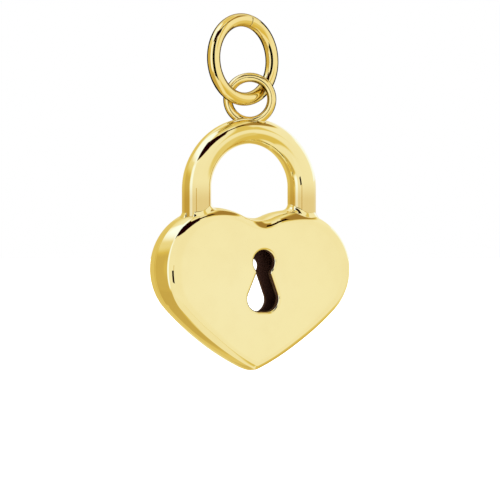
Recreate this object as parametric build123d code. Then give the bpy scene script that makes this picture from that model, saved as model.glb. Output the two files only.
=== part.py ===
from build123d import *

import math
import os

# Heart shaped padlock charm: a hollow heart case with a keyhole through both faces, a fixed shackle
# soldered to its lobes, a small closed ring soldered on the shackle, and a loose jump ring.
# Millimetres and degrees, +Z up, front of the heart towards -Y. The origin is where the charm hangs:
# the inner top of the jump ring, touched by whatever goes through it.

# Jump ring
JUMP_WIRE = 0.94
JUMP_INNER_RADIUS = 2.35
JUMP_TURN = 14.0
JUMP_LEAN = 1.2
JUMP_SLIDE = 0.59
SEAM_GAP = 0.03
SEAM_ANGLE = 12.0

# Small ring soldered on the shackle
BAIL_WIRE = 0.66
BAIL_INNER_RADIUS = 1.24
BAIL_TURN = -28.8
BAIL_SEAT = 0.22

# Shackle
LEG_DIAMETER = 2.07
BOW_DIAMETER = 1.82
LEG_SPACING = 8.58
BOW_RISE = 4.11
BOW_FULLNESS = 0.92
LEG_LENGTH = 1.45
LEG_SEAT = 1.2

# Heart case
CASE_THICKNESS = 2.45
EDGE_RADIUS = 0.47
PLATE = 0.45
LOBE_OFFSET = 3.12
LOBE_RADIUS = 4.78
SIDE_RADIUS = 4.16
SIDE_ANGLE = 44.0
FLANK_RADIUS = 20.8
FLANK_ANGLE = 135.5
CLEFT_RADIUS = 2.75
TIP_RADIUS = 0.55
HEART_LEAN = 1.8
HEART_SHIFT = 0.11

# Keyhole in the front
KEY_HEAD_RADIUS = 0.845
KEY_HEAD_HEIGHT = 0.99
KEY_NECK_HALF = 0.5
KEY_LENGTH = 3.5
KEY_SHIFT = 0.395

# Keyhole in the back, cut with a smaller head
BACK_KEY_HEAD_RADIUS = 0.55
BACK_KEY_HEAD_HEIGHT = 0.67
BACK_KEY_NECK_HALF = 0.42
BACK_KEY_LENGTH = 3.32
BACK_KEY_SHIFT = 0.475

# What both keyholes share
KEY_NECK_RADIUS = 0.3
KEY_FLARE_ANGLE = 22.5
KEY_CORNER_RADIUS = 0.88
KEY_RIM_RADIUS = 0.22

UP = Vector(0, 0, 1)
FRONT = Vector(0, -1, 0)


def level(angle):
    """Level direction at an angle from +X, and the level normal on its front side."""
    turn = math.radians(angle)
    along = Vector(math.cos(turn), math.sin(turn), 0)
    normal = Vector(math.sin(turn), -math.cos(turn), 0)
    return along, normal


def drawing_plane(origin, lean=0.0):
    """Plane to draw on that faces the front, with its up leaning towards +X by an angle."""
    turn = math.radians(lean)
    return Plane(origin=origin, x_dir=(math.cos(turn), 0, -math.sin(turn)), z_dir=FRONT)


def on_circle(centre, radius, angle):
    """Point of a drawing at an angle measured clockwise from straight up."""
    turn = math.radians(angle)
    return (centre[0] + radius * math.sin(turn), centre[1] + radius * math.cos(turn))


def arc(centre, radius, start, end):
    """Arc about a centre between two angles."""
    middle = on_circle(centre, radius, (start + end) / 2)
    return ThreePointArc(on_circle(centre, radius, start), middle, on_circle(centre, radius, end))


# Places that the pieces share, worked out from the top down
jump_along, jump_front = level(JUMP_TURN)
jump_tilt = math.radians(JUMP_LEAN)
jump_up = UP * math.cos(jump_tilt) - jump_front * math.sin(jump_tilt)
jump_normal = jump_front * math.cos(jump_tilt) + UP * math.sin(jump_tilt)
jump_radius = JUMP_INNER_RADIUS + JUMP_WIRE / 2
jump_centre = jump_up * -JUMP_INNER_RADIUS
jump_bottom = jump_centre - jump_up * jump_radius

bail_centre = jump_bottom + jump_along * JUMP_SLIDE
bail_radius = BAIL_INNER_RADIUS + BAIL_WIRE / 2

crown_drop = bail_radius - BAIL_SEAT + BOW_DIAMETER / 2
spring_point = bail_centre - UP * (crown_drop + BOW_RISE)
lobe_point = spring_point - UP * (LEG_LENGTH + LOBE_RADIUS) + Vector(HEART_SHIFT, 0, 0)


def jump_ring():
    """Loose ring of round wire, cut through by the fine seam where its ends meet."""
    plane = Plane(origin=jump_centre, x_dir=jump_along, z_dir=jump_normal)
    ring = plane * Torus(jump_radius, JUMP_WIRE / 2)
    cutter = Pos(0, jump_radius, 0) * Box(SEAM_GAP, 2 * JUMP_WIRE, 2 * JUMP_WIRE)
    return ring - plane * (Rot(0, 0, -SEAM_ANGLE) * cutter)


def bail_ring():
    """Small closed ring, turned towards the side that the charm is seen from."""
    along, normal = level(BAIL_TURN)
    return Plane(origin=bail_centre, x_dir=along, z_dir=normal) * Torus(bail_radius, BAIL_WIRE / 2)


def shackle():
    """Round bow of three tangent arcs, thinner at its crown, on two straight legs."""
    half = LEG_SPACING / 2
    corner = BOW_FULLNESS * min(half, BOW_RISE)
    inset = half - corner
    crown = (BOW_RISE**2 + inset**2 - corner**2) / (2 * (BOW_RISE - corner))
    turn = math.degrees(math.atan2(inset, crown - BOW_RISE))
    line = Wire(
        [
            arc((-inset, 0), corner, -90, -turn),
            arc((0, BOW_RISE - crown), crown, -turn, turn),
            arc((inset, 0), corner, turn, 90),
        ]
    )
    sections = [
        Plane(origin=line @ share, x_dir=(0, 0, 1), z_dir=line % share) * Circle(diameter / 2)
        for share, diameter in ((0, LEG_DIAMETER), (0.5, BOW_DIAMETER), (1, LEG_DIAMETER))
    ]
    bow = sweep(sections, path=line, multisection=True)
    length = LEG_LENGTH + LEG_SEAT
    leg = Rot(90, 0, 0) * Cylinder(LEG_DIAMETER / 2, length, align=(Align.CENTER, Align.CENTER, Align.MIN))
    legs = [Pos(side * half, 0, 0) * leg for side in (-1, 1)]
    return drawing_plane(spring_point) * (bow + legs)


def heart_outline(inset):
    """Heart outline moved inwards by an inset: tangent arcs about fixed centres."""
    lobe = (LOBE_OFFSET, 0.0)
    cleft = (0.0, math.sqrt((CLEFT_RADIUS + LOBE_RADIUS) ** 2 - LOBE_OFFSET**2))
    side = on_circle(lobe, LOBE_RADIUS - SIDE_RADIUS, SIDE_ANGLE)
    flank = on_circle(side, SIDE_RADIUS - FLANK_RADIUS, FLANK_ANGLE)
    tip_rounding = max(TIP_RADIUS, inset)
    tip = (0.0, flank[1] - math.sqrt((FLANK_RADIUS - tip_rounding) ** 2 - flank[0] ** 2))
    cleft_angle = math.degrees(math.atan2(-lobe[0], cleft[1] - lobe[1]))
    tip_angle = math.degrees(math.atan2(-flank[0], tip[1] - flank[1]))
    right = [
        arc(cleft, CLEFT_RADIUS + inset, 180.0, 180.0 + cleft_angle),
        arc(lobe, LOBE_RADIUS - inset, cleft_angle, SIDE_ANGLE),
        arc(side, SIDE_RADIUS - inset, SIDE_ANGLE, FLANK_ANGLE),
        arc(flank, FLANK_RADIUS - inset, FLANK_ANGLE, tip_angle),
    ]
    if TIP_RADIUS > inset:
        right.append(arc(tip, TIP_RADIUS - inset, tip_angle, 180.0))
    left = [edge.mirror(Plane.YZ) for edge in right]
    return make_face(right + left)


def heart_block(inset, rounding=0.0):
    """Heart shaped block as thick as the case less an inset on each face."""
    block = extrude(heart_outline(inset), amount=CASE_THICKNESS / 2 - inset, both=True)
    if rounding > 0:
        faces = block.faces().filter_by(Axis.Z)
        block = fillet(faces.edges(), rounding)
    return drawing_plane(lobe_point, HEART_LEAN) * block


def keyhole_outline(head_radius, neck_half, length):
    """Round head over a flared skirt with round corners."""
    neck = -math.sqrt(head_radius**2 - neck_half**2)
    skirt = neck_half + (length + neck) * math.tan(math.radians(KEY_FLARE_ANGLE))
    corners = [
        (0, 0),
        (-neck_half, neck),
        (-skirt, -length),
        (skirt, -length),
        (neck_half, neck),
    ]
    outline = Circle(head_radius) + Polygon(*corners, align=None)
    outline = fillet(outline.vertices().group_by(Axis.Y)[0], KEY_CORNER_RADIUS)
    necks = outline.vertices().sort_by(lambda corner: abs(corner.Y - neck))[:2]
    return fillet(necks, KEY_NECK_RADIUS)


def keyhole(outline, shift, head_height, towards):
    """Prism of a keyhole from the middle of the case out through one face."""
    plane = drawing_plane(lobe_point, HEART_LEAN) * Pos(shift, head_height, 0)
    return plane * extrude(outline, amount=towards * CASE_THICKNESS)


def padlock():
    """Hollow heart, shackle and small ring, soldered into one piece of metal."""
    metal = heart_block(0, EDGE_RADIUS) + shackle() + bail_ring()
    metal -= heart_block(PLATE)
    front_hole = keyhole_outline(KEY_HEAD_RADIUS, KEY_NECK_HALF, KEY_LENGTH)
    back_hole = keyhole_outline(BACK_KEY_HEAD_RADIUS, BACK_KEY_NECK_HALF, BACK_KEY_LENGTH)
    metal -= keyhole(front_hole, KEY_SHIFT, KEY_HEAD_HEIGHT, 1)
    metal -= keyhole(back_hole, BACK_KEY_SHIFT, BACK_KEY_HEAD_HEIGHT, -1)
    faces = metal.faces().filter_by(GeomType.PLANE).sort_by(Axis.Y)
    rims = faces[0].inner_wires().edges() + faces[-1].inner_wires().edges()
    return fillet(rims, KEY_RIM_RADIUS)


os.makedirs("parts", exist_ok=True)
export_step(jump_ring(), "parts/jump_ring.step")
export_step(padlock(), "parts/padlock.step")
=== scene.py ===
import math

import bmesh
import bpy
import numpy as np
from bpy.props import FloatProperty, FloatVectorProperty, IntProperty, PointerProperty
from mathutils import Matrix, Vector
from mathutils.bvhtree import BVHTree


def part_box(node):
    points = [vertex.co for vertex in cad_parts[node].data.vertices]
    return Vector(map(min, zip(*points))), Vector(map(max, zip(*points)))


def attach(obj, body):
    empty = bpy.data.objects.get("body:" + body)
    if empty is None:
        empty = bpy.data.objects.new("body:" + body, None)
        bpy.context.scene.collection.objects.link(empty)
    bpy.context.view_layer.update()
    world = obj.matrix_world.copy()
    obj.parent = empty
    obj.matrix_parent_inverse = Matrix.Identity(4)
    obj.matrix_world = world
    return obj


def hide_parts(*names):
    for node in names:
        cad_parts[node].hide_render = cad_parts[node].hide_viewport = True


bl_info = {
    "name": "Heart padlock charm",
    "version": (1, 0, 0),
    "blender": (4, 5, 0),
    "location": "3D View > Sidebar > Charm",
    "description": "Builds a polished gold heart padlock charm round its packed solids",
    "category": "Add Mesh",
}

# The frame: metres, +Z up, front of the heart towards -Y, origin where the charm hangs
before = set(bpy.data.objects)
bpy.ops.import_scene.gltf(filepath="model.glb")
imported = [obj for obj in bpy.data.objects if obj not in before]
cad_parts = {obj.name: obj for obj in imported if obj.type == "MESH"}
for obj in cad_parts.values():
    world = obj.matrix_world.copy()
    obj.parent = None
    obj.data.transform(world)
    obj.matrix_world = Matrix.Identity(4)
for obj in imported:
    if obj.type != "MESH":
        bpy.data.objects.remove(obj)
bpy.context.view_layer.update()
PADLOCK_LOW, PADLOCK_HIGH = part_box("padlock")

MM = 0.001
UP = Vector((0, 0, 1))
FRONT = Vector((0, -1, 0))
WHITE = (1, 1, 1)

# Width of the photograph in pixels
PHOTO_WIDTH = 500


def length(name, description, size, **options):
    """A length property. The size is given in millimetres and kept in metres."""
    return FloatProperty(
        name=name,
        description=description,
        default=size * MM,
        unit="LENGTH",
        precision=5,
        **options,
    )


def angle(name, description, degrees):
    """An angle property. The angle is given in degrees and kept in radians."""
    return FloatProperty(name=name, description=description, default=math.radians(degrees), subtype="ANGLE")


def share(name, description, value, low=0.0, high=1.0):
    """A plain number between two limits."""
    return FloatProperty(name=name, description=description, default=value, min=low, max=high, precision=4)


def colour(name, description, value):
    """A linear colour property."""
    return FloatVectorProperty(
        name=name, description=description, default=value, subtype="COLOR", size=3, min=0, max=1
    )


class JumpRingSizes(bpy.types.PropertyGroup):
    """Loose jump ring at the top."""

    wire: length("Wire", "Diameter of the round wire", 0.94)
    inner_radius: length("Inner radius", "Radius of the ring's opening", 2.35)
    turn: angle("Turn", "Turn about the upright, from the front", 14.0)
    lean: angle("Lean", "Lean of the top away from the front", 1.2)
    seam_gap: length("Seam gap", "Gap where the wire's ends meet", 0.03)
    seam_angle: angle("Seam angle", "Place of the seam, clockwise from the top", 12.0)
    seam_rounding: length("Seam rounding", "Rounding of the wire's cut ends", 0.035)


class BailSizes(bpy.types.PropertyGroup):
    """Small closed ring soldered on the shackle."""

    wire: length("Wire", "Diameter of the round wire", 0.66)
    inner_radius: length("Inner radius", "Radius of the ring's opening", 1.24)
    turn: angle("Turn", "Turn about the upright, from the front", -28.8)
    seat: length("Seat", "Depth that the wire is sunk in the shackle", 0.22)
    slide: length("Slide", "Sideways place along the jump ring", 0.59)


class ShackleSizes(bpy.types.PropertyGroup):
    """Fixed shackle of the padlock."""

    leg_diameter: length("Leg diameter", "Diameter of the straight legs", 2.07)
    bow_diameter: length("Bow diameter", "Diameter at the crown of the bow", 1.82)
    leg_spacing: length("Leg spacing", "Distance between the legs' centre lines", 8.58)
    bow_rise: length("Bow rise", "Height of the bow's centre line over the legs", 4.11)
    bow_fullness: share("Bow fullness", "Size of the bow's corners", 0.92)
    leg_length: length("Leg length", "Straight length over the lobes", 1.45)
    leg_seat: length("Leg seat", "Depth that the legs go into the lobes' wall", 0.2)


class HeartSizes(bpy.types.PropertyGroup):
    """Hollow heart case."""

    plate: length("Plate", "Thickness of the case's metal", 0.45)
    border_width: length("Border width", "Width of the sloping border round the front face", 0.41)
    lobe_extra: length("Lobe extra", "How much wider the border is over the right lobe", 0.19)
    cleft_extra: length("Cleft extra", "How much wider the border is in the cleft", 0.15)
    right_less: length("Right less", "How much narrower the border is at the right", 0.22)
    tip_share: share("Border share at the tip", "Width of the border at the tip, as a share", 0.7)
    border_start: angle("Border start", "Slope of the border next to the face", 27.0)
    border_end: angle("Border end", "Slope of the border next to the wall", 45.0)
    crest_inset: length("Crest inset", "How far the wall's front half draws in", 0.15)
    crest_left: length("Crest left", "How much further it draws in at the left", 0.38)
    crest_radius: length("Crest radius", "Rounding between the border and the wall", 0.14)
    wall_crown: length("Wall crown", "Roundness of the wall's front half", 0.018)
    back_rounding: length("Back rounding", "Rounding of the back edge", 0.4)
    back_taper: length("Back taper", "How far the wall draws in towards the back", 0.07)
    seam_depth: length("Seam depth", "Depth of the seam where the two halves meet", 0.012)
    lobe_offset: length("Lobe offset", "Distance of a lobe's centre from the middle", 3.12)
    lobe_radius: length("Lobe radius", "Radius of the lobes' tops", 4.78)
    side_radius: length("Side radius", "Radius of the lobes' sides", 4.16)
    side_angle: angle("Side angle", "Where a lobe's side starts, clockwise from the top", 44.0)
    flank_radius: length("Flank radius", "Radius of the long flanks", 20.8)
    flank_angle: angle("Flank angle", "Where a flank starts, clockwise from the top", 135.5)
    cleft_radius: length("Cleft radius", "Radius of the cleft between the lobes", 2.75)
    tip_radius: length("Tip radius", "Radius of the tip", 0.55)
    lean: angle("Lean", "Lean of the heart, clockwise from the front", 1.8)
    shift: length("Shift", "Sideways place under the shackle", 0.11)
    columns: IntProperty(name="Columns", description="Points round the heart", default=480, min=64)


class KeyholeSizes(bpy.types.PropertyGroup):
    """Keyhole through both faces of the case."""

    head_radius: length("Head radius", "Radius of the front hole's round head", 0.845)
    head_height: length("Head height", "Height of the front head over the lobes' centres", 0.99)
    neck_half: length("Neck half width", "Half width where the front skirt leaves the head", 0.5)
    depth: length("Depth", "Distance from the front head's centre to the skirt's foot", 3.5)
    shift: length("Shift", "Sideways place of the front hole", 0.395)
    back_head_radius: length("Back head radius", "Radius of the back hole's round head", 0.55)
    back_head_height: length("Back head height", "Height of the back head over the lobes' centres", 0.67)
    back_neck_half: length("Back neck half width", "Half width where the back skirt leaves the head", 0.42)
    back_depth: length("Back depth", "Distance from the back head's centre to the skirt's foot", 3.32)
    back_shift: length("Back shift", "Sideways place of the back hole", 0.475)
    neck_radius: length("Neck radius", "Rounding of the necks' corners", 0.3)
    flare_angle: angle("Flare angle", "Angle of the skirts' sides from the upright", 22.5)
    corner_radius: length("Corner radius", "Radius of the skirts' corners", 0.88)
    rim_radius: length("Rim radius", "Rounding of the holes' outer rims", 0.22)


class SolderSizes(bpy.types.PropertyGroup):
    """Solder where the shackle and the small ring are joined on."""

    leg_reach: length("Leg reach", "Reach of the solder round a leg's foot", 0.27)
    leg_inner_reach: length("Inner reach", "Extra reach on the inner side of a leg", 0.16)
    fullness: length("Fullness", "How far the solder stands out of a plain hollow fillet", 0.05)
    bail_reach: length("Ring reach", "Reach of the solder round the small ring's foot", 0.13)
    sink: length("Sink", "Depth that a fillet's edges are sunk in the metal", 0.006)


class FinishSettings(bpy.types.PropertyGroup):
    """Polished gold."""

    gold: colour("Gold", "Colour of the polished gold", (0.912, 0.798, 0.402))
    # The deep gold colours the random clouds, and also the painted shade at the legs' feet
    deep_gold: colour("Deep gold", "Colour of the gold's darker clouds", (0.74, 0.55, 0.2))
    # Painted shade: the dark colour that the gold turns to in the joints, where other metal is close by
    joint_shade: colour("Joint gold", "Colour of the gold in the joints", (0.36, 0.19, 0.05))
    wire: colour("Wire gold", "Colour of the rings' wire", (0.92, 0.76, 0.33))
    # Painted shade: dark edge tint that darkens the rings' wire where it is seen at a glancing angle
    wire_edge_shade: colour("Wire edge", "Tint of the rings' wire at its edges", (0.22, 0.12, 0.05))
    # Painted shade: the near black colour of the case's inside and of the keyholes' walls
    inside: colour("Inside", "Colour of the unpolished inside", (0.10, 0.035, 0.02))
    roughness: share("Roughness", "Roughness of the polished metal", 0.015)
    # Painted shade at the legs' feet: how deep the gold turns there, and how far up it reaches
    foot_shade: share("Foot tint", "How deep the gold turns at the legs' feet", 0.75)
    foot_height: length("Foot height", "How far up the legs the deeper gold reaches", 2.1)


class StudioSettings(bpy.types.PropertyGroup):
    """Camera, floor and light."""

    azimuth: angle("Azimuth", "Camera's place round the charm, from the front", -28.5)
    elevation: angle("Elevation", "Camera's height over the charm", 0.53)
    distance: length("Distance", "Camera's distance from the charm", 167.0)
    pixels: share("Pixels to the millimetre", "Scale of the picture at the charm", 14.0, 1, 100)
    aim_right: share("Aim right", "Pixels right of the middle to the picture's centre", 7.33, -250, 250)
    aim_down: share("Aim down", "Pixels below the middle to the picture's centre", 41.07, -250, 250)
    middle: length("Middle", "Height of the charm's middle", -13.0)
    floor_height: length("Floor height", "Height of the floor", -38.0)
    floor_radius: length("Floor radius", "Radius of the round floor", 700.0)


def level(turn):
    """Level direction at an angle from +X, and the level normal on its front side."""
    along = Vector((math.cos(turn), math.sin(turn), 0))
    normal = Vector((math.sin(turn), -math.cos(turn), 0))
    return along, normal


def drawing(origin, lean=0.0):
    """Matrix of a drawing that faces the front: right, up and out of the paper, its up leaning to +X."""
    right = Vector((math.cos(lean), 0, -math.sin(lean)))
    upright = Vector((math.sin(lean), 0, math.cos(lean)))
    turned = Matrix((right, upright, FRONT)).transposed().to_4x4()
    return Matrix.Translation(origin) @ turned


def on_circle(centre, radius, turn):
    """Point of a drawing at an angle measured clockwise from straight up."""
    return Vector((centre[0] + radius * math.sin(turn), centre[1] + radius * math.cos(turn)))


def clockwise(vector):
    """Angle of a vector of a drawing, clockwise from straight up."""
    return math.atan2(vector[0], vector[1])


class Places:
    """Places that the pieces share, worked out from the top down as in the solids."""

    def __init__(self, scene):
        jump, bail, bow, heart = scene.charm_jump, scene.charm_bail, scene.charm_shackle, scene.charm_heart
        self.jump_along, front = level(jump.turn)
        self.jump_up = UP * math.cos(jump.lean) - front * math.sin(jump.lean)
        self.jump_normal = front * math.cos(jump.lean) + UP * math.sin(jump.lean)
        self.jump_radius = jump.inner_radius + jump.wire / 2
        self.jump_centre = -self.jump_up * jump.inner_radius
        bottom = self.jump_centre - self.jump_up * self.jump_radius
        self.bail_centre = bottom + self.jump_along * bail.slide
        self.bail_radius = bail.inner_radius + bail.wire / 2
        crown_drop = self.bail_radius - bail.seat + bow.bow_diameter / 2
        self.spring = self.bail_centre - UP * (crown_drop + bow.bow_rise)
        self.lobes = self.spring - UP * (bow.leg_length + heart.lobe_radius) + Vector((heart.shift, 0, 0))
        self.half_thickness = (PADLOCK_HIGH.y - PADLOCK_LOW.y) / 2


def new_piece(name, vertices, faces, material):
    """A smooth closed mesh object, its faces turned outwards."""
    mesh = bpy.data.meshes.new(name)
    mesh.from_pydata([tuple(v) for v in vertices], [], faces)
    shaped = bmesh.new()
    shaped.from_mesh(mesh)
    bmesh.ops.recalc_face_normals(shaped, faces=shaped.faces)
    shaped.to_mesh(mesh)
    shaped.free()
    mesh.polygons.foreach_set("use_smooth", [True] * len(mesh.polygons))
    mesh.materials.append(material)
    mesh.update()
    piece = bpy.data.objects.new(name, mesh)
    bpy.context.scene.collection.objects.link(piece)
    return piece


def grid_faces(rows, columns, close_rows=False):
    """Quads of a grid whose columns close on themselves. The rows may close too."""
    faces = []
    for row in range(rows if close_rows else rows - 1):
        below = (row + 1) % rows
        for column in range(columns):
            beside = (column + 1) % columns
            faces.append(
                (
                    row * columns + column,
                    row * columns + beside,
                    below * columns + beside,
                    below * columns + column,
                )
            )
    return faces


def capped_tube(rows):
    """Vertices and faces of a tube given as rows of points, with a fan to a point at each end."""
    columns = len(rows[0])
    vertices = [point for row in rows for point in row]
    faces = grid_faces(len(rows), columns)
    for first, row in ((0, rows[0]), (len(vertices) - columns, rows[-1])):
        centre = len(vertices)
        vertices.append(sum(row, Vector()) / columns)
        for column in range(columns):
            faces.append((first + column, first + (column + 1) % columns, centre))
    return vertices, faces


def tree_of(piece):
    """Search tree of a piece's mesh, for finding its surface."""
    shaped = bmesh.new()
    shaped.from_mesh(piece.data)
    tree = BVHTree.FromBMesh(shaped)
    shaped.free()
    return tree


def finish_piece(piece, body, slot, *nodes):
    """Sets a piece on its body and hides the solids that it stands for."""
    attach(piece, body)
    if nodes:
        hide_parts(*nodes)


# Outlines

# Height over the heart's tip at which its border and edges reach their full width
TIP_REACH = 2.2 * MM

# Where the front border is widest over the right lobe and in the cleft: place across the heart and reach
WIDE_LOBE = (2.6 * MM, 1.9 * MM)
WIDE_CLEFT = (0.25 * MM, 0.8 * MM)

# Rows of points over the inside of a plate, and up a hole's wall as far as it takes the painted shade of
# the inside
INSIDE_ROWS = 6
SHADED_HOLE_ROWS = 8


def heart_arcs(heart):
    """Right half of the heart as tangent arcs, from the cleft to the tip.

    Each arc is a centre, a radius, and a first and last angle.
    """
    lobe = Vector((heart.lobe_offset, 0))
    reach = heart.cleft_radius + heart.lobe_radius
    cleft = Vector((0, math.sqrt(reach**2 - heart.lobe_offset**2)))
    side = on_circle(lobe, heart.lobe_radius - heart.side_radius, heart.side_angle)
    flank = on_circle(side, heart.side_radius - heart.flank_radius, heart.flank_angle)
    drop = math.sqrt((heart.flank_radius - heart.tip_radius) ** 2 - flank.x**2)
    tip = Vector((0, flank.y - drop))
    cleft_turn = clockwise(cleft - lobe)
    tip_turn = clockwise(tip - flank)
    return (
        (cleft, heart.cleft_radius, math.pi, math.pi + cleft_turn),
        (lobe, heart.lobe_radius, cleft_turn, heart.side_angle),
        (side, heart.side_radius, heart.side_angle, heart.flank_angle),
        (flank, heart.flank_radius, heart.flank_angle, tip_turn),
        (tip, heart.tip_radius, tip_turn, math.pi),
    )


def arc_points(centre, radius, start, end, steps, outwards=1):
    """Points along an arc but its last, with normals away from its centre, or towards it for -1."""
    points = []
    for step in range(steps):
        turn = start + (end - start) * step / steps
        points.append((on_circle(centre, radius, turn), outwards * on_circle((0, 0), 1, turn)))
    return points


def with_mirror(half):
    """Closed loop of points and normals from its right half, given from top to bottom."""
    return half + [(Vector((-p.x, p.y)), Vector((-n.x, n.y))) for p, n in half[-2:0:-1]]


def heart_loop(heart):
    """Points round the heart with their outward normals, closer together where it turns tightly."""
    # Points are shared out by the arcs' lengths at a larger radius, which favours the tight arcs
    turning, fewest = 2.5 * MM, 4
    arcs = heart_arcs(heart)
    spans = [(radius + turning) * abs(end - start) for _, radius, start, end in arcs]
    half = []
    for number, arc in enumerate(arcs):
        steps = max(fewest, round(heart.columns / 2 * spans[number] / sum(spans)))
        outwards = -1 if number == 0 else 1
        half += arc_points(*arc, steps, outwards)
    tip_centre, tip_radius = arcs[-1][:2]
    half.append((on_circle(tip_centre, tip_radius, math.pi), Vector((0, -1))))
    return with_mirror(half)


def hill(place, centre, reach):
    """Smooth bump of height 1 about a place."""
    return math.exp(-(((place - centre) / reach) ** 2))


def bend(start, corner, end, part):
    """Point of a smooth bend that runs from its start to its end inside a corner."""
    return start * (1 - part) ** 2 + corner * (2 * part * (1 - part)) + end * part**2


def tip_shares(loop):
    """Height of each point of the outline over the tip, as a share of the tip's reach and at most 1."""
    tip = min(point.y for point, _ in loop)
    return [min(1.0, (point.y - tip) / TIP_REACH) for point, _ in loop]


def tip_guarded(loop):
    """The loop with the tip's normals shortened, so that a wide inset doesn't fold there."""
    shortest = 0.85
    guarded = []
    for (point, normal), near in zip(loop, tip_shares(loop)):
        guarded.append((point, normal * (shortest + (1 - shortest) * near)))
    return guarded


def border_places(heart, loop):
    """Insets of the face's edge and of the crest over the wall, at each point of the outline."""
    places = []
    for (point, normal), near in zip(loop, tip_shares(loop)):
        full = heart.tip_share + (1 - heart.tip_share) * near * near * (3 - 2 * near)
        crest = heart.crest_inset + heart.crest_left * max(0.0, -normal.x) ** 3
        width = heart.border_width - heart.right_less * max(0.0, normal.x) ** 2
        if point.y > 0:
            width += heart.lobe_extra * hill(point.x, *WIDE_LOBE)
            width += heart.cleft_extra * hill(point.x, *WIDE_CLEFT)
        places.append(((crest + width) * full, crest * full))
    return places


def front_section(heart, edge, crest, depth):
    """Section of the border and the wall's front half: inset from the outline and drop from the face."""
    lip = 0.03 * MM
    lip_steps, border_steps, crest_steps, wall_steps = 3, 8, 6, 9
    section = [Vector((edge, 0.0))]
    for start, end, across, steps in (
        (0.0, heart.border_start, lip, lip_steps),
        (heart.border_start, heart.border_end, edge - lip - crest, border_steps),
    ):
        for step in range(steps):
            slope = math.tan(start + (end - start) * (step + 0.5) / steps)
            section.append(section[-1] + Vector((-across / steps, across / steps * slope)))
    corner, seam = section.pop(), Vector((0.0, depth))
    last = section.pop()
    # The rounding takes the place of the border's last two steps and stays within them
    reach = min(heart.crest_radius, 0.8 * (section[-1] - corner).length)
    start = corner + (last - corner).normalized() * reach
    end = corner + (seam - corner).normalized() * reach
    for step in range(crest_steps + 1):
        section.append(bend(start, corner, end, step / crest_steps))
    outwards = Vector((end.y - seam.y, seam.x - end.x)).normalized()
    for step in range(1, wall_steps + 1):
        part = step / wall_steps
        point = end.lerp(seam, part) + outwards * (4 * heart.wall_crown * part * (1 - part))
        section.append(Vector((max(0.0, point.x), point.y)))
    return section


def back_section(heart, depth):
    """Section of the back edge and the wall's back half: inset from the outline and drop from the back."""
    radius, whole_turn = heart.back_rounding, math.radians(86)
    edge_steps, wall_steps, hollow = 10, 4, 1.3
    section = []
    for step in range(edge_steps + 1):
        turn = whole_turn * step / edge_steps
        inset = heart.back_taper + radius * (1 - math.sin(turn))
        section.append((inset, radius * (1 - math.cos(turn))))
    inset, drop = section[-1]
    for step in range(1, wall_steps + 1):
        part = step / wall_steps
        section.append((inset * (1 - part) ** hollow, drop + (depth - drop) * part))
    return section


def keyhole_loop(key, head_radius, neck_half, depth, steps=60):
    """Points round a keyhole with normals into the metal: round head, neck, flared skirt, round corners."""
    neck = Vector((neck_half, -math.sqrt(head_radius**2 - neck_half**2)))
    side = Vector((math.cos(key.flare_angle), math.sin(key.flare_angle)))
    down = Vector((math.sin(key.flare_angle), -math.cos(key.flare_angle)))
    across = neck.dot(side) + key.neck_radius
    fillet = side * across + down * math.sqrt((head_radius + key.neck_radius) ** 2 - across**2)
    corner_y = -depth + key.corner_radius
    corner_x = (neck.dot(side) - key.corner_radius - corner_y * side.y) / side.x
    corner = Vector((corner_x, corner_y))
    neck_turn = clockwise(fillet)
    half = arc_points((0, 0), head_radius, 0.0, neck_turn, steps)
    half += arc_points(fillet, key.neck_radius, neck_turn + math.pi, clockwise(-side) + math.tau, steps, -1)
    half += arc_points(corner, key.corner_radius, clockwise(side), math.pi, steps)
    half.append((on_circle(corner, key.corner_radius, math.pi), Vector((0, -1))))
    half.append((Vector((0, -depth)), Vector((0, -1))))
    return with_mirror(half)


def placed_keyhole(loop, place, neck_drop, heart_points):
    """Keyhole points on the heart's drawing, one for each heart point, in its direction from the neck."""
    centre = Vector((0, -neck_drop))
    bearings = np.unwrap([clockwise(p - centre) for p, _ in loop])
    wanted = [clockwise(p - place - centre) for p in heart_points]
    values = zip(*[(*p, *n) for p, n in loop])
    x, y, nx, ny = (np.interp(wanted, bearings, value, period=math.tau) for value in values)
    placed = []
    for number in range(len(wanted)):
        normal = Vector((nx[number], ny[number])).normalized()
        placed.append((place + Vector((x[number], y[number])), normal))
    return placed


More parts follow.
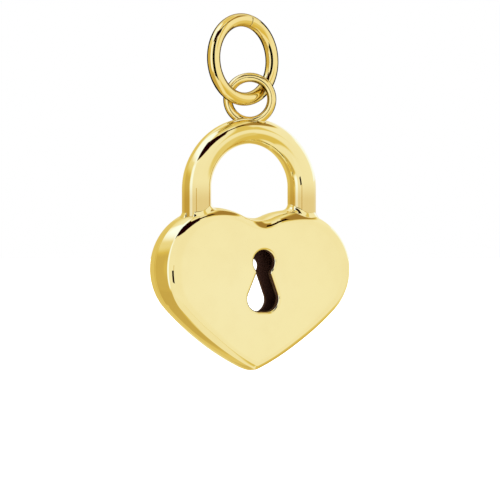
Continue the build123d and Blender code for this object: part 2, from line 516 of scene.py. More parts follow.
def heart_rows(scene, places):
    """Rows of points over the whole case: keyhole rim, face, edge, wall, back, back hole and inside."""
    heart, key = scene.charm_heart, scene.charm_keyhole
    half = places.half_thickness
    inner = half - heart.plate
    # Half the seam's width, and the roundings at a hole's inside edge and along the inside of the wall
    seam, bevel, rounding = 0.02 * MM, 0.05 * MM, 0.12 * MM
    # The flat face starts just past the rounding of a hole's rim
    rim_reach, rim_steps, face_steps = 1.08 * key.rim_radius, 10, 10
    loop = heart_loop(heart)
    guarded = tip_guarded(loop)
    points = [p for p, _ in loop]
    insets = border_places(heart, loop)
    sections = [front_section(heart, edge, crest, half - seam) for edge, crest in insets]
    back_edge = back_section(heart, half - seam)
    front_hole = placed_keyhole(
        keyhole_loop(key, key.head_radius, key.neck_half, key.depth),
        Vector((key.shift, key.head_height)),
        key.head_radius,
        points,
    )
    back_hole = placed_keyhole(
        keyhole_loop(key, key.back_head_radius, key.back_neck_half, key.back_depth),
        Vector((key.back_shift, key.back_head_height)),
        key.back_head_radius,
        points,
    )
    place = drawing(places.lobes, heart.lean)
    rows = []

    def add(flat_rows):
        """Adds rows that each lie at one depth."""
        for flat, depth in flat_rows:
            rows.append([place @ Vector((p.x, p.y, depth)) for p in flat])

    def moved(outline, amount):
        """Points moved along their normals, or against them for an amount below 0."""
        return [p + n * amount for p, n in outline]

    def between(first, last, steps, depth):
        """Rows between the first and the last row of a flat face."""
        parts = [step / steps for step in range(1, steps)]
        return [([a.lerp(b, part) for a, b in zip(first, last)], depth) for part in parts]

    def hole_side(hole, towards):
        """From the inside edge of a plate out over the rim."""
        side_rows = [
            (moved(hole, bevel), inner),
            (moved(hole, bevel * 0.3), inner + bevel * 0.3),
            (moved(hole, 0), inner + bevel),
        ]
        for step in range(rim_steps + 1):
            turn = math.pi / 2 * step / rim_steps
            grow = key.rim_radius * (1 - math.cos(turn))
            depth = half - key.rim_radius * (1 - math.sin(turn))
            side_rows.append((moved(hole, grow), depth))
        side_rows.append((moved(hole, rim_reach), half))
        return [(flat, towards * depth) for flat, depth in side_rows]

    def face(hole, border, towards):
        """From the hole's rim out to the border."""
        return between(moved(hole, rim_reach), border, face_steps, towards * half)

    def inside(hole, towards):
        """Inside of a plate, from the wall to the hole."""
        wall = moved(guarded, -heart.plate)
        far = moved(guarded, -heart.plate - rounding)
        near = moved(hole, bevel)
        inside_rows = [(wall, towards * (inner - rounding)), (far, towards * inner)]
        return inside_rows + between(far, near, INSIDE_ROWS - 1, towards * inner)

    def front_row(number):
        """Points of one row of the front border and wall, and their depths."""
        flat = [p - n * section[number][0] for (p, n), section in zip(loop, sections)]
        return flat, [half - section[number][1] for section in sections]

    add(hole_side(front_hole, 1) + face(front_hole, front_row(0)[0], 1))
    for number in range(len(sections[0])):
        flat, depths = front_row(number)
        rows.append([place @ Vector((p.x, p.y, depth)) for p, depth in zip(flat, depths)])
    add([(moved(loop, -heart.seam_depth), 0.0)])
    back = [(moved(guarded, -inset), drop - half) for inset, drop in back_edge]
    back = hole_side(back_hole, -1) + face(back_hole, back[0][0], -1) + back
    add(reversed(back))
    add(reversed(inside(back_hole, -1)))
    add(inside(front_hole, 1))
    return rows


def bow_line(bow, steps=48):
    """Centre line of the bow from the left leg to the right one: point, direction, radius."""
    half = bow.leg_spacing / 2
    corner = bow.bow_fullness * min(half, bow.bow_rise)
    inset = half - corner
    crown = (bow.bow_rise**2 + inset**2 - corner**2) / (2 * (bow.bow_rise - corner))
    turn = math.atan2(inset, crown - bow.bow_rise)
    arcs = (
        (Vector((-inset, 0)), corner, -math.pi / 2, -turn),
        (Vector((0, bow.bow_rise - crown)), crown, -turn, turn),
        (Vector((inset, 0)), corner, turn, math.pi / 2),
    )
    whole = sum(radius * (end - start) for _, radius, start, end in arcs)
    line, done = [], 0.0
    for number, (centre, radius, start, end) in enumerate(arcs):
        last = 1 if number == len(arcs) - 1 else 0
        for step in range(steps + last):
            at = start + (end - start) * step / steps
            along = (done + radius * (at - start)) / whole
            thick = bow.bow_diameter + (bow.leg_diameter - bow.bow_diameter) * abs(2 * along - 1)
            line.append((on_circle(centre, radius, at), Vector((math.cos(at), -math.sin(at))), thick / 2))
        done += radius * (end - start)
    return line


def tube_ring(centre, right, out, radius, columns):
    """Ring of points about a centre, from one direction towards another."""
    ring = []
    for column in range(columns):
        turn = math.tau * column / columns
        ring.append(centre + (right * math.cos(turn) + out * math.sin(turn)) * radius)
    return ring


# Pieces


def build_heart_case(scene):
    """Hollow heart, one closed skin over the outside, the keyholes and the inside."""
    rows = heart_rows(scene, Places(scene))
    columns = len(rows[0])
    vertices = [point for row in rows for point in row]
    piece = new_piece("heart_case", vertices, grid_faces(len(rows), columns, True), polished_gold(scene))
    piece.data.materials.append(painted_inside_shade(scene))
    # The inside of the case and the holes' walls take the painted shade of the inside material
    first_unshaded = SHADED_HOLE_ROWS - 1
    end_unshaded = len(rows) - 2 * INSIDE_ROWS - SHADED_HOLE_ROWS
    for face in piece.data.polygons:
        unshaded = first_unshaded <= face.index // columns < end_unshaded
        face.material_index = 0 if unshaded else 1
    return piece


def build_shackle(scene, case):
    """Bow and legs in one tube, the legs' feet cut to the lobes' wall."""
    places = Places(scene)
    bow = scene.charm_shackle
    columns, leg_steps = 72, 8
    leg_radius = bow.leg_diameter / 2
    place = drawing(places.spring)
    tree = tree_of(case)
    rows = []
    for point, direction, radius in bow_line(bow):
        centre = place @ Vector((point.x, point.y, 0))
        across = (place.to_3x3() @ Vector((-direction.y, direction.x, 0))).normalized()
        rows.append(tube_ring(centre, across, FRONT, radius, columns))

    def seated(ring):
        """Points in the case's wall straight under a ring, as deep as the legs are seated."""
        return [tree.ray_cast(point, -UP)[0] - UP * bow.leg_seat for point in ring]

    def foot(side):
        """Rows down a leg and over its hidden foot, which follows the wall under it."""
        axis = place @ Vector((side * bow.leg_spacing / 2, 0, 0))
        right = Vector((side, 0, 0))
        starts = tube_ring(axis, right, FRONT, leg_radius, columns)
        ends = seated(starts)
        leg_rows = []
        for step in range(1, leg_steps + 1):
            leg_rows.append([a.lerp(b, step / leg_steps) for a, b in zip(starts, ends)])
        for shrink in (0.75, 0.5, 0.25):
            leg_rows.append(seated(tube_ring(axis, right, FRONT, shrink * leg_radius, columns)))
        return leg_rows

    left = align_rows(foot(-1), rows[0])
    right = align_rows(foot(1), rows[-1])
    vertices, faces = capped_tube(left[::-1] + rows + right)
    return new_piece("shackle", vertices, faces, shackle_gold(scene))


def align_rows(rows, target):
    """Rows of a leg turned so that their columns run on from the bow's."""
    flat = [Vector((p.x, p.y)) for p in rows[0]]
    order = []
    for point in target:
        near = Vector((point.x, point.y))
        order.append(min(range(len(flat)), key=lambda number: (flat[number] - near).length))
    return [[row[number] for number in order] for row in rows]


def ring_point(centre, along, upright, normal, radius, wire_radius, turn, around):
    """Point on a wire ring, its outward normal and the direction along the wire."""
    outwards = along * math.sin(turn) + upright * math.cos(turn)
    skin = outwards * math.cos(around) + normal * math.sin(around)
    ahead = along * math.cos(turn) - upright * math.sin(turn)
    return centre + outwards * radius + skin * wire_radius, skin, ahead


def wire_row(axes, radius, wire_radius, turn, columns):
    """Row of points round the wire of a ring. The axes are its centre, along, upright and normal."""
    turns = [math.tau * column / columns for column in range(columns)]
    return [ring_point(*axes, radius, wire_radius, turn, around)[0] for around in turns]


def build_jump_ring(scene):
    """Loose ring of round wire, its ends rounded at the seam."""
    jump = scene.charm_jump
    places = Places(scene)
    axes = (places.jump_centre, places.jump_along, places.jump_up, places.jump_normal)
    columns, steps, cap_steps, flat_ends = 56, 256, 5, (0.3, 0.6, 0.85)
    wire = jump.wire / 2
    half_gap = jump.seam_gap / 2 / places.jump_radius
    rounding = jump.seam_rounding
    rows = []

    def row(turn, radius):
        rows.append(wire_row(axes, places.jump_radius, radius, turn, columns))

    start = jump.seam_angle + half_gap
    end = jump.seam_angle + math.tau - half_gap
    cap_turn = rounding / places.jump_radius
    caps = []
    for step in range(cap_steps + 1):
        turn = math.pi / 2 * step / cap_steps
        caps.append((cap_turn * (1 - math.sin(turn)), wire - rounding * (1 - math.cos(turn))))
    for inwards in flat_ends:
        row(start, (wire - rounding) * inwards)
    for back, radius in reversed(caps):
        row(start + back, radius)
    for step in range(1, steps):
        row(start + cap_turn + (end - start - 2 * cap_turn) * step / steps, wire)
    for back, radius in caps:
        row(end - back, radius)
    for inwards in reversed(flat_ends):
        row(end, (wire - rounding) * inwards)
    vertices, faces = capped_tube(rows)
    return new_piece("jump_ring_wire", vertices, faces, ring_gold(scene))


def build_bail_ring(scene):
    """Small closed ring, turned towards the side that the charm is seen from."""
    bail = scene.charm_bail
    places = Places(scene)
    along, normal = level(bail.turn)
    axes = (places.bail_centre, along, UP, normal)
    columns, steps = 48, 160
    vertices = []
    for step in range(steps):
        turn = math.tau * step / steps
        vertices += wire_row(axes, places.bail_radius, bail.wire / 2, turn, columns)
    return new_piece("bail_ring", vertices, grid_faces(steps, columns, True), ring_gold(scene))


def solder_collar(name, skin_at, tree, search, reaches, sink, fullness, material):
    """Closed fillet round the foot of a wire or leg.

    skin_at(around, along) gives a point on the wire, its outward normal and the way back along the wire.
    The foot is looked for along the wire between the two places of search, the first one clear of the
    metal and the second one buried.
    """
    columns, steps, halvings = 72, 12, 26
    heel = 8 * sink
    rows = [[] for _ in range(steps + 2)]
    for column in range(columns):
        around = math.tau * column / columns
        reach = reaches(around)
        free, hidden = search
        for _ in range(halvings):
            middle = (free + hidden) / 2
            point = skin_at(around, middle)[0]
            surface, normal, _, _ = tree.find_nearest(point)
            if (point - surface).dot(normal) > 0:
                free = middle
            else:
                hidden = middle
        foot, outwards, back = skin_at(around, free)
        top = foot + back * reach - outwards * sink
        surface, normal, _, _ = tree.find_nearest(foot + outwards * reach)
        aside = surface - normal * sink
        slant = (outwards + back).normalized()
        for step in range(steps + 1):
            part = step / steps
            full = slant * fullness * math.sqrt(math.sin(math.pi * part))
            rows[step].append(bend(top, foot, aside, part) + full)
        rows[steps + 1].append(foot - outwards * heel - back * heel)
    vertices = [point for row in rows for point in row]
    return new_piece(name, vertices, grid_faces(len(rows), columns, True), material)


def build_solder(scene, case, shackle):
    """Fillets at the legs' feet and at the small ring's two feet."""
    places = Places(scene)
    bow, bail, solder = scene.charm_shackle, scene.charm_bail, scene.charm_solder
    material = polished_gold(scene)
    case_tree, bow_tree = tree_of(case), tree_of(shackle)
    along, normal = level(bail.turn)
    axes = (places.bail_centre, along, UP, normal)
    # Where a foot is looked for: drops down a leg, and angles from the top of the small ring
    leg_search = (0.4 * bow.leg_length, bow.leg_length + 1.6 * MM)
    ring_search = (math.radians(95), math.radians(178))

    def leg_reach(around):
        inner = max(0.0, math.cos(around)) ** 2
        return solder.leg_reach + solder.leg_inner_reach * inner

    def ring_reach(around):
        return solder.bail_reach

    pieces = []
    for side, name in ((-1, "left"), (1, "right")):
        axis = places.spring + Vector((side * bow.leg_spacing / 2, 0, 0))

        def leg_skin(around, drop, axis=axis, side=side):
            outwards = Vector((-side * math.cos(around), 0, 0)) + FRONT * math.sin(around)
            return axis + outwards * (bow.leg_diameter / 2) - UP * drop, outwards, UP

        leg = (f"solder_{name}_leg", leg_skin, case_tree, leg_search, leg_reach)
        pieces.append(solder_collar(*leg, solder.sink, solder.fullness, material))
    for side, name in ((-1, "left"), (1, "right")):

        def ring_skin(around, turn, side=side):
            point, skin, ahead = ring_point(*axes, places.bail_radius, bail.wire / 2, side * turn, around)
            return point, skin, -side * ahead

        ring = (f"solder_ring_{name}", ring_skin, bow_tree, ring_search, ring_reach)
        pieces.append(solder_collar(*ring, solder.sink, 0.0, material))
    return pieces


# Finishes


class Nodes:
    """Short ways to add and join a node tree's nodes."""

    def __init__(self, tree):
        self.tree = tree
        self.tree.nodes.clear()

    def add(self, kind, **settings):
        node = self.tree.nodes.new(kind)
        for name, value in settings.items():
            setattr(node, name, value)
        return node

    def join(self, source, target):
        self.tree.links.new(source, target)

    def math(self, operation, first, second=None):
        node = self.add("ShaderNodeMath", operation=operation)
        for socket, value in zip(node.inputs, (first, second)):
            if isinstance(value, bpy.types.NodeSocket):
                self.join(value, socket)
            elif value is not None:
                socket.default_value = value
        return node.outputs[0]

    def ramp(self, source, low, high, at_low=0.0, at_high=1.0):
        """Smooth change from one value to another as a source goes from low to high."""
        node = self.add("ShaderNodeMapRange", interpolation_type="SMOOTHSTEP")
        self.join(source, node.inputs["Value"])
        for name, value in (("From Min", low), ("From Max", high), ("To Min", at_low), ("To Max", at_high)):
            node.inputs[name].default_value = value
        return node.outputs[0]

    def mix(self, factor, first, second, blend="MIX"):
        """Mix of two colours. Their sockets follow those of the factor, of numbers and of vectors."""
        node = self.add("ShaderNodeMix", data_type="RGBA", blend_type=blend)
        for place, value in ((0, factor), (6, first), (7, second)):
            socket = node.inputs[place]
            if isinstance(value, bpy.types.NodeSocket):
                self.join(value, socket)
            elif place == 0:
                socket.default_value = value
            else:
                socket.default_value = (*value, 1)
        return node.outputs[2]

    def noise(self, coordinates, scale, detail=2.0, roughness=0.5):
        node = self.add("ShaderNodeTexNoise")
        self.join(coordinates, node.inputs["Vector"])
        node.inputs["Scale"].default_value = scale
        node.inputs["Detail"].default_value = detail
        node.inputs["Roughness"].default_value = roughness
        return node.outputs["Fac"]

    def bump(self, height, distance, under=None):
        """Normal of a fine relief, over that of another one where it is given."""
        node = self.add("ShaderNodeBump")
        node.inputs["Distance"].default_value = distance
        self.join(height, node.inputs["Height"])
        if under is not None:
            self.join(under, node.inputs["Normal"])
        return node.outputs[0]


# Heights of the waves and of the hairline scratches that polishing leaves
WAVE_HEIGHT = 0.004 * MM
SCRATCH_HEIGHT = 0.00004 * MM


def new_metal(name, metallic):
    """New metal material: itself, its nodes, its shader and the place on the piece."""
    material = bpy.data.materials.new(name)
    material.use_nodes = True
    nodes = Nodes(material.node_tree)
    output = nodes.add("ShaderNodeOutputMaterial")
    metal = nodes.add("ShaderNodeBsdfPrincipled")
    metal.inputs["Metallic"].default_value = metallic
    nodes.join(metal.outputs[0], output.inputs["Surface"])
    return material, nodes, metal, nodes.add("ShaderNodeTexCoord").outputs["Object"]


def gold_material(name, scene, tone, edge_shade_tone, roughness, wear=1.0, foot=None):
    """Polished gold with faint waves and hairline scratches, and painted shade that deepens its colour in
    the joints.

    Where the height of a foot is given, painted shade deepens the gold there too and fades to plain above
    it.
    """
    material = bpy.data.materials.get(name)
    if material:
        return material
    finish = scene.charm_finish
    material, nodes, metal, place = new_metal(name, 1.0)
    # The edge tone paints shade on the metal where it is seen at a glancing angle; white leaves it plain
    metal.inputs["Specular Tint"].default_value = (*edge_shade_tone, 1)

    # Colour: faint clouds, painted shade at the foot and painted shade in the joints
    clouds = nodes.noise(place, scale=520, detail=3.0, roughness=0.6)
    tint = nodes.mix(nodes.ramp(clouds, 0.35, 0.7, at_high=0.08), tone, finish.deep_gold)
    # Painted shade at the legs' feet, deepest just over the joints and fading to plain higher up
    if foot is not None:
        split = nodes.add("ShaderNodeSeparateXYZ")
        nodes.join(place, split.inputs[0])
        low, high = foot + 0.5 * MM, foot + finish.foot_height
        foot_shade_mask = nodes.ramp(split.outputs["Z"], low, high, finish.foot_shade, 0.0)
        tint = nodes.mix(foot_shade_mask, tint, finish.deep_gold)
    # Painted shade in the joints: dark brown gold where ambient occlusion finds metal close by
    depth = nodes.add("ShaderNodeAmbientOcclusion", samples=4, only_local=False)
    depth.inputs["Distance"].default_value = 0.35 * MM
    joint_shade_mask = nodes.ramp(depth.outputs["AO"], 0.2, 0.68, at_low=0.85, at_high=0.0)
    nodes.join(nodes.mix(joint_shade_mask, tint, finish.joint_shade), metal.inputs["Base Color"])

    # Gloss, a little duller where the clouds are deeper
    dull = nodes.ramp(clouds, 0.3, 0.75, roughness * 0.7, roughness * 1.5)
    nodes.join(dull, metal.inputs["Roughness"])

    # Relief: waves, and over them hairlines drawn out in one direction
    stretch = nodes.add("ShaderNodeMapping")
    stretch.inputs["Scale"].default_value = (1.0, 1.0, 0.12)
    stretch.inputs["Rotation"].default_value = (0.2, 0.7, 0.4)
    nodes.join(place, stretch.inputs["Vector"])
    hairlines = nodes.noise(stretch.outputs[0], scale=9000, roughness=0.6)
    waves = nodes.bump(nodes.noise(place, scale=260), wear * WAVE_HEIGHT)
    nodes.join(nodes.bump(hairlines, wear * SCRATCH_HEIGHT, waves), metal.inputs["Normal"])
    return material


def polished_gold(scene):
    """Finish of the padlock."""
    finish = scene.charm_finish
    return gold_material("mirror_gold", scene, finish.gold, WHITE, finish.roughness)


def shackle_gold(scene):
    """Finish of the shackle: the padlock's, with painted shade over the legs' feet."""
    finish = scene.charm_finish
    joint = Places(scene).spring.z - scene.charm_shackle.leg_length
    return gold_material("bow_gold", scene, finish.gold, WHITE, finish.roughness, foot=joint)


def ring_gold(scene):
    """Finish of the rings, drawn wire that has been handled more, with painted shade at its edges."""
    finish = scene.charm_finish
    roughness = 1.4 * finish.roughness
    return gold_material("wire_gold", scene, finish.wire, finish.wire_edge_shade, roughness, wear=1.5)


def painted_inside_shade(scene):
    """Painted shade over the inside of the case and up the holes' walls, darker in random clouds."""
    material = bpy.data.materials.get("case_inside_shade")
    if material:
        return material
    material, nodes, metal, place = new_metal("case_inside_shade", 0.6)
    grime = nodes.noise(place, scale=1800, detail=4.0, roughness=0.6)
    # Painted shade: dark metal that stands for the shade inside the case and down the holes
    dark = scene.charm_finish.inside
    darker = tuple(0.6 * part for part in dark)
    nodes.join(nodes.mix(grime, darker, dark), metal.inputs["Base Color"])
    nodes.join(nodes.ramp(grime, 0.3, 0.7, 0.5, 0.75), metal.inputs["Roughness"])
    nodes.join(nodes.bump(grime, 0.01 * MM), metal.inputs["Normal"])
    return material


# Studio

# Zones of the light tent, later ones over earlier ones: azimuth, elevation, half width, half height and
# softness in degrees, and brightness. Azimuth 0 is in front of the heart and 90 on its right.
TENT = {
    "top": (0, 82, 180, 16, 5, 0.75),
    "brown over the right": (60, 53, 34, 9, 3, 0.4),
    "stripe over the right": (28, 30, 7, 20, 3, 0.72),
    "bright window over the left": (-100, 58, 50, 21, 5, 1.6),
    "gap over the left": (-42, 50, 25, 12.5, 1, 0.0),
    "gap over the front": (-5.5, 49.5, 15.5, 10.5, 1, 0.0),
    "thin end of the gap": (20, 53, 18, 3.5, 1, 0.0),
    "bright window on the right": (112, 16, 24, 12, 5, 1.4),
    "bright strip on the left": (-72, 4, 11, 30, 5, 1.5),
    "gold behind": (-168, -4, 28, 50, 8, 0.72),
    "gold behind on the right": (158, 0, 14, 40, 8, 0.78),
    "fading gold on the left": (-112, 28, 29, 12, 9, 0.84),
    "gold wall on the left": (-112, -4, 29, 26, 8, 0.61),
    "gold below on the left": (-120, -46, 60, 22, 8, 0.58),
    "gold below behind": (115, -50, 60, 24, 10, 0.62),
    "gold below": (42, -42, 40, 22, 6, 0.7),
    "gold on the right": (58, -20, 27, 14, 4, 0.76),
    "round the front": (28.5, -2, 13, 11, 6, 0.975),
    "glow in front": (28.5, -2.6, 1.2, 1.0, 2.6, 1.09),
    "camera": (-34, -8, 6, 5.5, 1, 0.04),
    "lens": (-28.5, -0.5, 4, 2, 1, 0.62),
}

# Brightness of the tent outside its zones, straight below and straight above
TENT_BELOW, TENT_ABOVE = 0.95, 1.0

# Light panels that some rings see dark, under the names of those rings. Each panel has the azimuths of its
# sides, its lowest and highest elevation, all in degrees, and its tone.
PANELS = {
    ("jump_ring_wire",): (
        (-46, -8, -32, -13.5, "white"),
        (-46, -40, -13.5, -2.5, "white"),
        (-40, -28, -13.5, -2.5, "black"),
        (-28, -8, -13.5, -5.5, "white"),
        (-23, -8, -5.5, 1.5, "white"),
        (-46, -34, -2.5, 1.5, "white"),
        (-46, -34, 1.5, 4.5, "white"),
        (-23, -8, 1.5, 4.5, "white"),
        (-46, -8, 4.5, 37, "white"),
    ),
    ("jump_ring_wire", "bail_ring"): (
        (-28, -23, -5.5, -2.5, "white"),
        (-34, -31, -2.5, 1.5, "white"),
        (-31, -26, -2.5, 1.5, "brown"),
        (-26, -23, -2.5, 1.5, "white"),
        (-34, -23, 1.5, 4.5, "white"),
        (90, 138, -22, 4, "white"),
        (88, 136, 4, 28, "bright"),
        (-194, -142, -46, 38, "gold"),
    ),
}
PANEL_TONES = {
    "bright": (1.06, 1.18, 1.64),
    "white": (0.99, 0.98, 0.95),
    "gold": (0.8, 0.65, 0.25),
    "brown": (0.66, 0.5, 0.17),
    "black": (0.01, 0.0, 0.0),
}

# Distance of the panels from the charm in metres, and the widest flat strip of them in degrees
PANEL_DISTANCE = 2.0
PANEL_STRIP = 8

# Colour of the tent's light by its brightness, and what each 1 of brightness over 1 adds to it
WARMTH = {
    0.0: (0.012, 0.0, 0.001),
    0.35: (0.33, 0.18, 0.047),
    0.6: (0.66, 0.5, 0.17),
    0.7: (0.78, 0.62, 0.2),
    0.8: (0.88, 0.79, 0.46),
    0.9: (0.94, 0.89, 0.72),
    1.0: WHITE,
}
GLARE = (0.15, 0.45, 1.6)


def towards(azimuth, elevation):
    """Direction at an azimuth and an elevation in radians."""
    return Vector(
        (
            math.sin(azimuth) * math.cos(elevation),
            -math.cos(azimuth) * math.cos(elevation),
            math.sin(elevation),
        )
    )


def build_light(scene):
    """Soft light tent round the charm, seen by the camera as plain white."""
    world = bpy.data.worlds.new("light_tent")
    world.use_nodes = True
    scene.world = world
    nodes = Nodes(world.node_tree)
    place = nodes.add("ShaderNodeTexCoord").outputs["Generated"]

    def dot(axis):
        node = nodes.add("ShaderNodeVectorMath", operation="DOT_PRODUCT")
        nodes.join(place, node.inputs[0])
        node.inputs[1].default_value = axis
        return node.outputs["Value"]

    def within(turn, half_size, soft):
        """1 where an angle is within a zone's half size, fading softly to 0 outside it."""
        return nodes.ramp(nodes.math("ABSOLUTE", turn), half_size - soft, half_size + soft, 1.0, 0.0)

    height = nodes.math("ARCSINE", dot(UP))
    bright = nodes.ramp(dot(UP), -1.0, 1.0, TENT_BELOW, TENT_ABOVE)
    for *degrees, value in TENT.values():
        azimuth, elevation, half_width, half_height, soft = (math.radians(part) for part in degrees)
        right, ahead = level(azimuth)
        across = within(nodes.math("ARCTAN2", dot(right), dot(ahead)), half_width, soft)
        tall = within(nodes.math("SUBTRACT", height, elevation), half_height, soft)
        inside = nodes.math("MULTIPLY", across, tall)
        change = nodes.math("MULTIPLY", inside, nodes.math("SUBTRACT", value, bright))
        bright = nodes.math("ADD", bright, change)
    warmth = nodes.add("ShaderNodeValToRGB")
    stops = warmth.color_ramp.elements
    for position in list(WARMTH)[1:-1]:
        stops.new(position)
    for stop, tone in zip(stops, WARMTH.values()):
        stop.color = (*tone, 1)
    nodes.join(bright, warmth.inputs[0])
    over = nodes.math("MAXIMUM", nodes.math("SUBTRACT", bright, 1.0), 0.0)
    glare = nodes.mix(over, (0, 0, 0), GLARE)
    light = nodes.mix(1.0, warmth.outputs[0], glare, "ADD")
    background = nodes.add("ShaderNodeBackground")
    nodes.join(light, background.inputs["Color"])
    plain = nodes.add("ShaderNodeBackground")
    plain.inputs["Color"].default_value = (*WHITE, 1)
    seen = nodes.add("ShaderNodeMixShader")
    nodes.join(nodes.add("ShaderNodeLightPath").outputs["Is Camera Ray"], seen.inputs[0])
    nodes.join(background.outputs[0], seen.inputs[1])
    nodes.join(plain.outputs[0], seen.inputs[2])
    output = nodes.add("ShaderNodeOutputWorld")
    nodes.join(seen.outputs[0], output.inputs["Surface"])


def build_panels(scene):
    """Light panels round the charm, each linked to the pieces that it lights."""
    pieces = [piece for piece in scene.collection.objects if piece.type == "MESH"]
    materials = []
    for name, tone in PANEL_TONES.items():
        material = bpy.data.materials.new(f"{name}_panel")
        material.use_nodes = True
        nodes = Nodes(material.node_tree)
        glow = nodes.add("ShaderNodeEmission")
        glow.inputs["Color"].default_value = (*tone, 1)
        nodes.join(glow.outputs[0], nodes.add("ShaderNodeOutputMaterial").inputs["Surface"])
        materials.append(material)
    for unlit, panels in PANELS.items():
        lit = bpy.data.collections.new("lit_by_panels")
        for piece in pieces:
            if piece.name not in unlit:
                lit.objects.link(piece)
        vertices, faces, tones = [], [], []
        for left, right, low, high, tone in panels:
            columns = math.ceil((right - left) / PANEL_STRIP)
            for column in range(columns):
                start, end = (left + (right - left) * edge / columns for edge in (column, column + 1))
                faces.append(tuple(range(len(vertices), len(vertices) + 4)))
                tones.append(list(PANEL_TONES).index(tone))
                for azimuth, elevation in ((start, low), (end, low), (end, high), (start, high)):
                    corner = towards(math.radians(azimuth), math.radians(elevation)) * PANEL_DISTANCE
                    vertices.append(tuple(corner))
        mesh = bpy.data.meshes.new("light_panels")
        mesh.from_pydata(vertices, [], faces)
        for material in materials:
            mesh.materials.append(material)
        mesh.polygons.foreach_set("material_index", tones)
        stand = bpy.data.objects.new("light_panels", mesh)
        scene.collection.objects.link(stand)
        stand.visible_camera = stand.visible_diffuse = stand.visible_shadow = False
        stand.light_linking.receiver_collection = lit


def build_floor(scene):
    """Plain pale round floor under the hanging charm."""
    studio = scene.charm_studio
    shaped = bmesh.new()
    bmesh.ops.create_circle(shaped, cap_ends=True, segments=128, radius=studio.floor_radius)
    bmesh.ops.translate(shaped, verts=shaped.verts, vec=(0, 0, studio.floor_height))
    mesh = bpy.data.meshes.new("floor")
    shaped.to_mesh(mesh)
    shaped.free()
    material = bpy.data.materials.new("pale_floor")
    material.use_nodes = True
    surface = material.node_tree.nodes["Principled BSDF"]
    surface.inputs["Base Color"].default_value = (0.9, 0.9, 0.9, 1)
    surface.inputs["Roughness"].default_value = 0.8
    surface.inputs["Emission Color"].default_value = (*WHITE, 1)
    surface.inputs["Emission Strength"].default_value = 1.0
    mesh.materials.append(material)
    floor = bpy.data.objects.new("floor", mesh)
    scene.collection.objects.link(floor)
    floor.visible_glossy = False


def build_camera(scene):
    """Camera at the photograph's angle and framing."""
    studio = scene.charm_studio
    camera = bpy.data.cameras.new("camera")
    camera.sensor_width = 36
    camera.lens = studio.pixels / MM * studio.distance * camera.sensor_width / PHOTO_WIDTH
    camera.clip_start, camera.clip_end = 0.01, 5
    back = towards(studio.azimuth, studio.elevation)
    middle = Vector((0, 0, studio.middle))
    right = level(studio.azimuth)[0]
    upright = back.cross(right)
    pixel = MM / studio.pixels
    aim = middle + right * (studio.aim_right * pixel) - upright * (studio.aim_down * pixel)
    stand = bpy.data.objects.new("camera", camera)
    scene.collection.objects.link(stand)
    stand.location = middle + back * studio.distance
    stand.rotation_mode = "QUATERNION"
    stand.rotation_quaternion = (aim - stand.location).to_track_quat("-Z", "Y")
    scene.camera = stand


# Operators


class CHARM_OT_heart_case(bpy.types.Operator):
    """Build the hollow heart case with its keyholes"""

    bl_idname = "charm.heart_case"
    bl_label = "Heart case"

    def execute(self, context):
        piece = build_heart_case(context.scene)
        finish_piece(piece, "padlock", "padlock_gold", "padlock")
        return {"FINISHED"}


class CHARM_OT_shackle(bpy.types.Operator):
    """Build the shackle on the heart case"""

    bl_idname = "charm.shackle"
    bl_label = "Shackle"

    def execute(self, context):
        piece = build_shackle(context.scene, bpy.data.objects["heart_case"])
        finish_piece(piece, "padlock", "padlock_gold", "padlock")
        return {"FINISHED"}


class CHARM_OT_bail_ring(bpy.types.Operator):
    """Build the small ring that is soldered on the shackle"""

    bl_idname = "charm.bail_ring"
    bl_label = "Small ring"

    def execute(self, context):
        finish_piece(build_bail_ring(context.scene), "padlock", "padlock_gold", "padlock")
        return {"FINISHED"}


class CHARM_OT_solder(bpy.types.Operator):
    """Build the solder fillets at the legs and at the small ring"""

    bl_idname = "charm.solder"
    bl_label = "Solder"

    def execute(self, context):
        case, shackle = bpy.data.objects["heart_case"], bpy.data.objects["shackle"]
        for piece in build_solder(context.scene, case, shackle):
            finish_piece(piece, "padlock", "padlock_gold", "padlock")
        return {"FINISHED"}


class CHARM_OT_jump_ring(bpy.types.Operator):
    """Build the loose jump ring"""

    bl_idname = "charm.jump_ring"
    bl_label = "Jump ring"

    def execute(self, context):
        finish_piece(build_jump_ring(context.scene), "jump_ring", "ring_gold", "jump_ring")
        return {"FINISHED"}


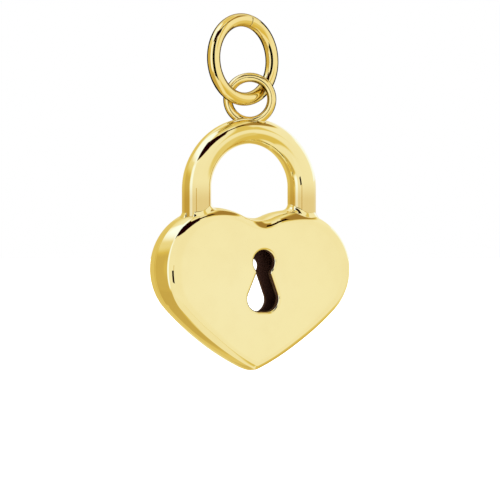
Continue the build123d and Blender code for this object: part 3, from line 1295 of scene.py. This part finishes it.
class CHARM_OT_stage(bpy.types.Operator):
    """Set up the floor, the light and the camera"""

    bl_idname = "charm.stage"
    bl_label = "Stage"

    def execute(self, context):
        scene = context.scene
        scene.view_settings.view_transform = "Standard"
        build_light(scene)
        build_panels(scene)
        build_floor(scene)
        build_camera(scene)
        return {"FINISHED"}


class CHARM_PT_panel(bpy.types.Panel):
    """Sizes, finish and pieces of the charm"""

    bl_idname = "CHARM_PT_panel"
    bl_label = "Heart padlock charm"
    bl_space_type = "VIEW_3D"
    bl_region_type = "UI"
    bl_category = "Charm"

    def draw(self, context):
        layout = self.layout
        for title, group_name, operators in PANEL_ROWS:
            box = layout.box()
            box.label(text=title)
            group = getattr(context.scene, group_name)
            for name in group.__annotations__:
                box.prop(group, name)
            for operator in operators:
                box.operator(operator)


PANEL_ROWS = (
    ("Heart case", "charm_heart", ("charm.heart_case",)),
    ("Keyhole", "charm_keyhole", ()),
    ("Shackle", "charm_shackle", ("charm.shackle",)),
    ("Small ring", "charm_bail", ("charm.bail_ring",)),
    ("Solder", "charm_solder", ("charm.solder",)),
    ("Jump ring", "charm_jump", ("charm.jump_ring",)),
    ("Finish", "charm_finish", ()),
    ("Studio", "charm_studio", ("charm.stage",)),
)
GROUPS = {
    "charm_heart": HeartSizes,
    "charm_keyhole": KeyholeSizes,
    "charm_shackle": ShackleSizes,
    "charm_bail": BailSizes,
    "charm_solder": SolderSizes,
    "charm_jump": JumpRingSizes,
    "charm_finish": FinishSettings,
    "charm_studio": StudioSettings,
}
CLASSES = (
    *GROUPS.values(),
    CHARM_OT_heart_case,
    CHARM_OT_shackle,
    CHARM_OT_bail_ring,
    CHARM_OT_solder,
    CHARM_OT_jump_ring,
    CHARM_OT_stage,
    CHARM_PT_panel,
)


def register():
    for item in CLASSES:
        bpy.utils.register_class(item)
    for name, group in GROUPS.items():
        setattr(bpy.types.Scene, name, PointerProperty(type=group))


def unregister():
    for name in GROUPS:
        delattr(bpy.types.Scene, name)
    for item in reversed(CLASSES):
        bpy.utils.unregister_class(item)


def main():
    register()
    bpy.ops.charm.heart_case()
    bpy.ops.charm.shackle()
    bpy.ops.charm.bail_ring()
    bpy.ops.charm.solder()
    bpy.ops.charm.jump_ring()
    bpy.ops.charm.stage()


if __name__ == "__main__":
    main()
